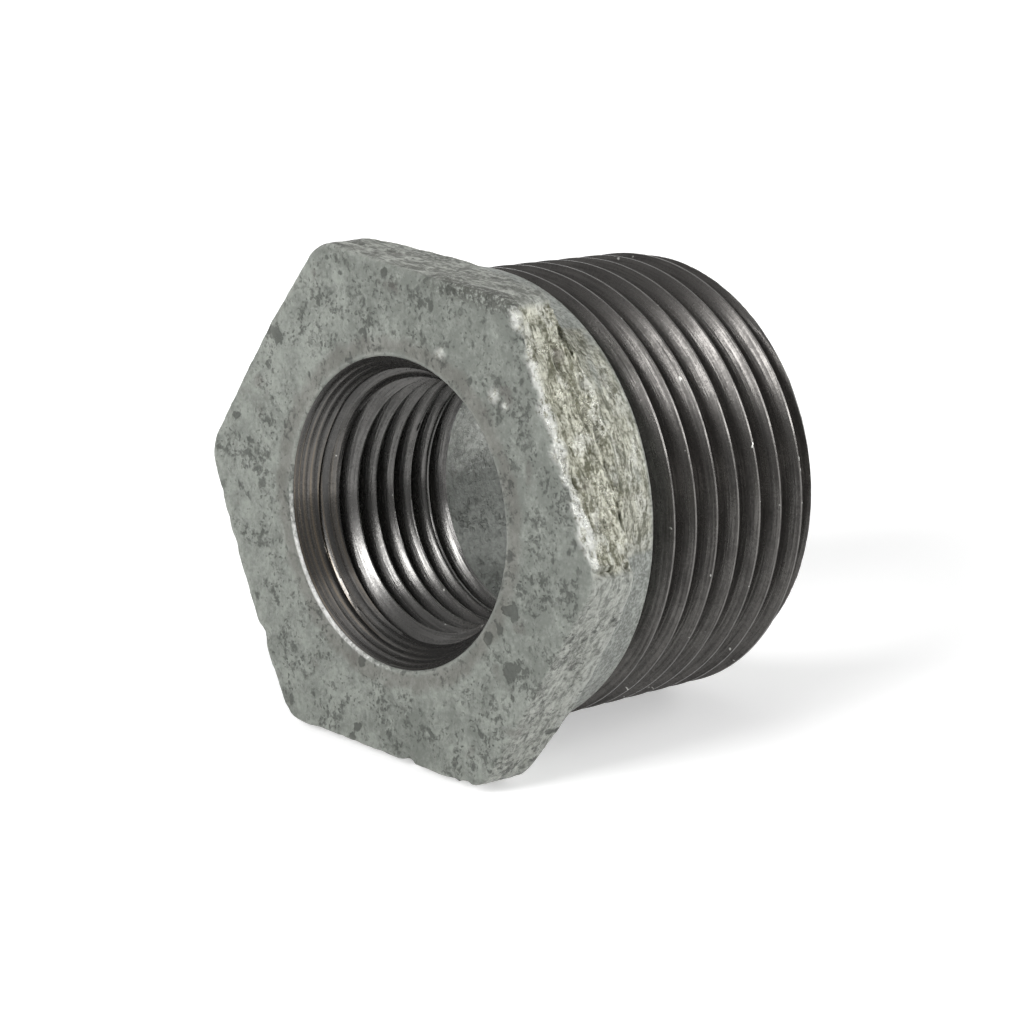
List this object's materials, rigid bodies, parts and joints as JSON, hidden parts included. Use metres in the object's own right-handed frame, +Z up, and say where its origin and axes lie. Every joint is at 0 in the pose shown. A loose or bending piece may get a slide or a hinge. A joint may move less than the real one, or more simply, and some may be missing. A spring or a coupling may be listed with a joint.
{
  "type": "hex bushing",
  "caption": "Galvanised cast-iron hex reducing bushing, male taper pipe thread outside and smaller female taper pipe thread through the hexagon head.",
  "frame": {"origin": "centre of the footprint on the surface that the bushing lies on: bottom centre of its box, under a bushing lying on one flat of its hexagon and the end of its male thread", "axes": "+Z up from that surface; +X along the bore from the hexagon's front face towards the male end, level while the bore's own axis dips by 5.54 degrees as the part rests; +Y level, across two opposite corners of the hexagon"},
  "size_m": [0.0302, 0.0408, 0.0364],
  "materials": {
    "galvanised_iron": "hot-dip galvanised casting, matt and mottled, with dark oiled machined threads"
  },
  "bodies": {
    "root": {"hex_bushing": "galvanised_iron"}
  },
  "joints": []
}
